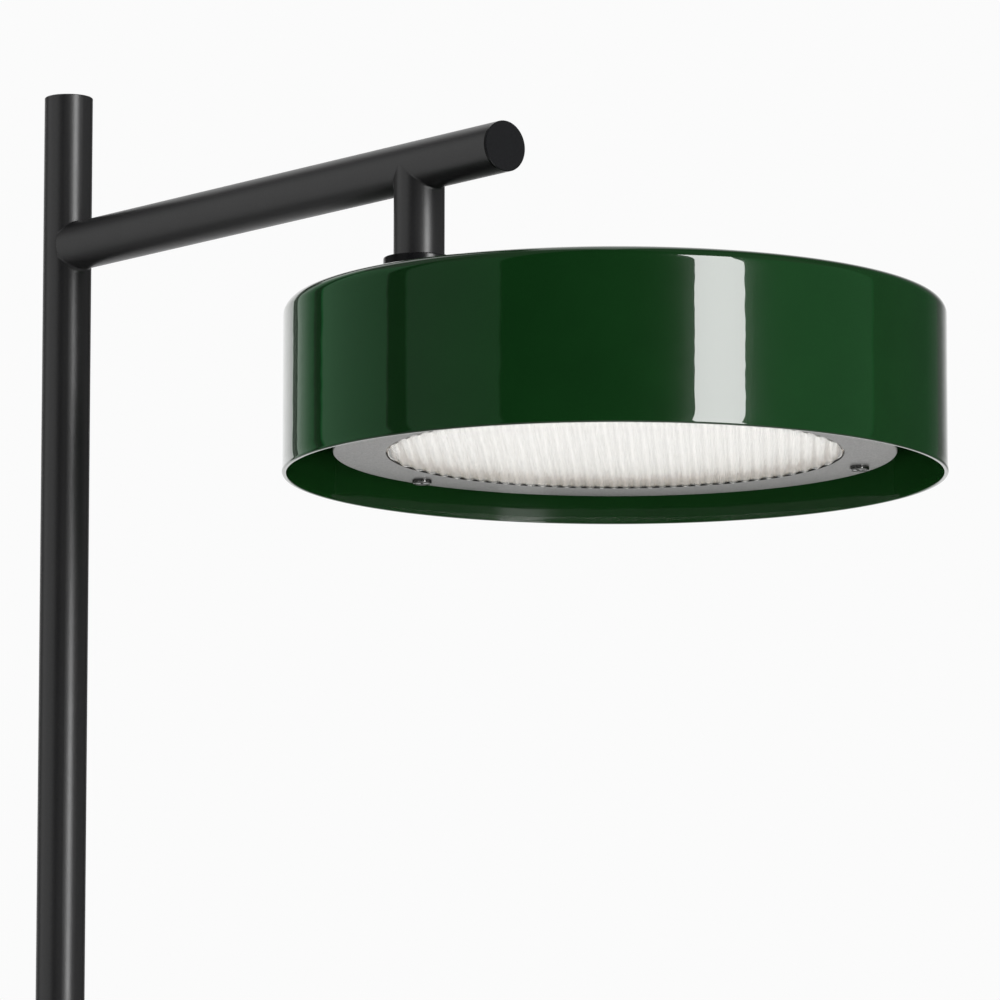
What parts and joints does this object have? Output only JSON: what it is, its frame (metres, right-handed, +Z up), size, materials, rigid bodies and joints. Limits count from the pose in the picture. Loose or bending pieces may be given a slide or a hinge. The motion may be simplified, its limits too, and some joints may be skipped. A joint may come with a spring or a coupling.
{
  "type": "floor lamp",
  "caption": "Floor lamp with a round base, a slim black tubular pole and cross arm, and a low drum reading head that hangs off-centre from a stem and swivels about it.",
  "frame": {"origin": "on the floor, under the middle of the base and the pole's axis", "axes": "+Z up along the pole, +X along the arm, the head hangs to the +Y side of the stem at rest"},
  "size_m": [0.6116, 0.4466, 1.4018],
  "materials": {
    "black_paint": "satin powder coat",
    "green_paint": "high gloss",
    "grey_paint": "satin",
    "lens_glass": "pressed, clear",
    "opal_plastic": "opal",
    "white_paint": "matt white",
    "spun_aluminium": "spun",
    "zinc_steel": "zinc plated",
    "black_rubber": "matt",
    "white_plastic": "moulded",
    "silicone": "matt",
    "led_phosphor": "matt",
    "lead_jacket": "matt"
  },
  "bodies": {
    "stand": {"arm_end_cap": "black_paint", "arm_tube": "black_paint", "axle_sleeve": "white_plastic", "base_pad": "black_rubber", "base_plate": "black_paint", "cord_gland": "black_rubber", "disc_spring": "zinc_steel", "friction_washer": "white_plastic", "pole_bolt": "zinc_steel", "pole_cap": "black_paint", "pole_foot_plug": "zinc_steel", "pole_lock_washer": "zinc_steel", "pole_tube": "black_paint", "pole_washer": "zinc_steel", "stand_lead": "lead_jacket", "stem_plug": "zinc_steel", "stem_tube": "black_paint", "stop_washer": "zinc_steel", "swivel_axle": "zinc_steel", "swivel_collar": "black_paint", "swivel_nut": "zinc_steel"},
    "head": {"shade": "green_paint", "mount_plate": "spun_aluminium", "stop_pin": "zinc_steel", "shade_studs": "zinc_steel", "spacer_sleeves": "zinc_steel", "stud_nuts": "zinc_steel", "lamp_can": "spun_aluminium", "retainer_ring": "grey_paint", "ring_screws": "zinc_steel", "ring_nuts": "zinc_steel", "lens": "lens_glass", "lens_gasket": "silicone", "reflector": "white_paint", "diffuser": "opal_plastic", "led_board": "spun_aluminium", "led_chips": "led_phosphor", "board_screws": "zinc_steel", "driver": "white_plastic", "driver_screws": "zinc_steel", "terminal_block": "white_plastic", "head_lead": "lead_jacket", "driver_lead": "lead_jacket", "led_lead": "lead_jacket"}
  },
  "joints": [
    {"name": "head_swivel", "type": "hinge", "parent": "stand", "child": "head", "pos_m": [0.293, 0, 1.266], "axis": [0, 0, 1], "range_deg": [-240, 60]}
  ]
}
